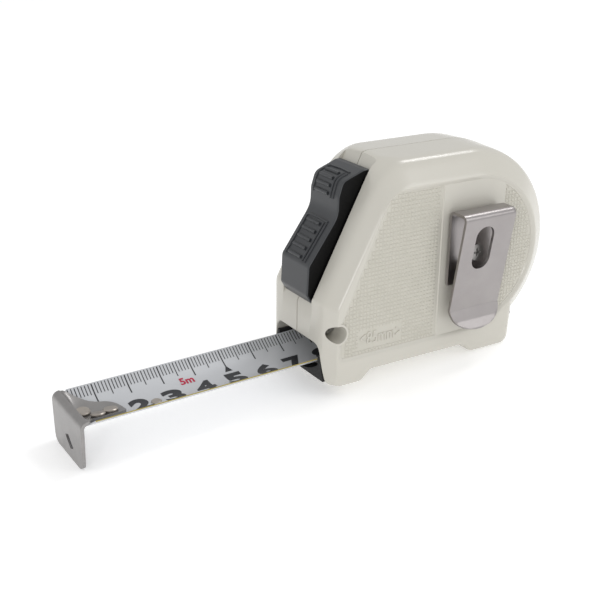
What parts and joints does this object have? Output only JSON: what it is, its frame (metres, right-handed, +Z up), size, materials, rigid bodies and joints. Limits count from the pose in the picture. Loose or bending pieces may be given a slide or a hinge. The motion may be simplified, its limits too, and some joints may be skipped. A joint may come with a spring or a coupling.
{
  "type": "tape measure",
  "caption": "Pocket tape measure: round-backed case with a slanted front, sliding blade lock, belt clip, curled steel blade and riveted end hook.",
  "frame": {"origin": "middle of the heel's sole, on the plane where the two shells meet", "axes": "+X towards the back of the case, the blade runs out along -X, +Z up, the belt clip is on the -Y side"},
  "size_m": [0.1575, 0.0413, 0.0732],
  "materials": {
    "shell": "glossy moulded plastic",
    "black_rubber": "matt black",
    "lever": "fine satin, grey-black",
    "nylon": "natural",
    "blade_paint": "clear-coated pale grey paint with ruled marks",
    "spring_steel": "blued rolled steel",
    "stainless": "brushed along its length",
    "nickel": "nickel plated",
    "brass": "turned"
  },
  "bodies": {
    "case": {"near_shell": "shell", "far_shell": "shell", "mouth_liner": "black_rubber", "detent_spring": "spring_steel", "reel_arbor": "stainless", "washer_near": "nylon", "washer_far": "nylon", "belt_clip": "stainless", "clip_screw": "nickel", "clip_nut": "brass", "case_screw_1": "nickel", "case_screw_2": "nickel", "case_screw_3": "nickel", "arbor_screw": "nickel", "heel_pin": "brass"},
    "blade": {"blade": "blade_paint", "blade_stop_rivet": "nickel", "hook_rivet_1": "nickel", "hook_rivet_2": "nickel", "hook_rivet_3": "nickel"},
    "hook": {"end_hook": "stainless"},
    "reel": {"blade_coil": "blade_paint", "reel_drum": "nylon", "reel_cover": "nylon", "mainspring": "spring_steel"},
    "lock": {"lock_lever": "lever", "lock_slider": "nylon", "brake_pad": "black_rubber"}
  },
  "joints": [
    {"name": "blade_pull", "type": "slide", "parent": "case", "child": "blade", "axis": [0.9997, 0, 0.024], "range_m": [0, 0.0698], "deforming": ["blade", "blade_stop_rivet"]},
    {"name": "hook_play", "type": "slide", "parent": "blade", "child": "hook", "axis": [0.9997, 0, 0.024], "range_m": [0, 0.001]},
    {"name": "reel_spin", "type": "hinge", "parent": "case", "child": "reel", "pos_m": [-0.0084, 0, 0.0328], "axis": [0, -1, 0], "range_deg": [0, 150], "deforming": ["mainspring"]},
    {"name": "lock_slide", "type": "slide", "parent": "case", "child": "lock", "axis": [0.4586, 0, 0.8887], "range_m": [0, 0.0045]}
  ],
  "couplings": [
    {"joint": "reel_spin", "follows": "blade_pull", "rad_per_m": 36.036}
  ]
}
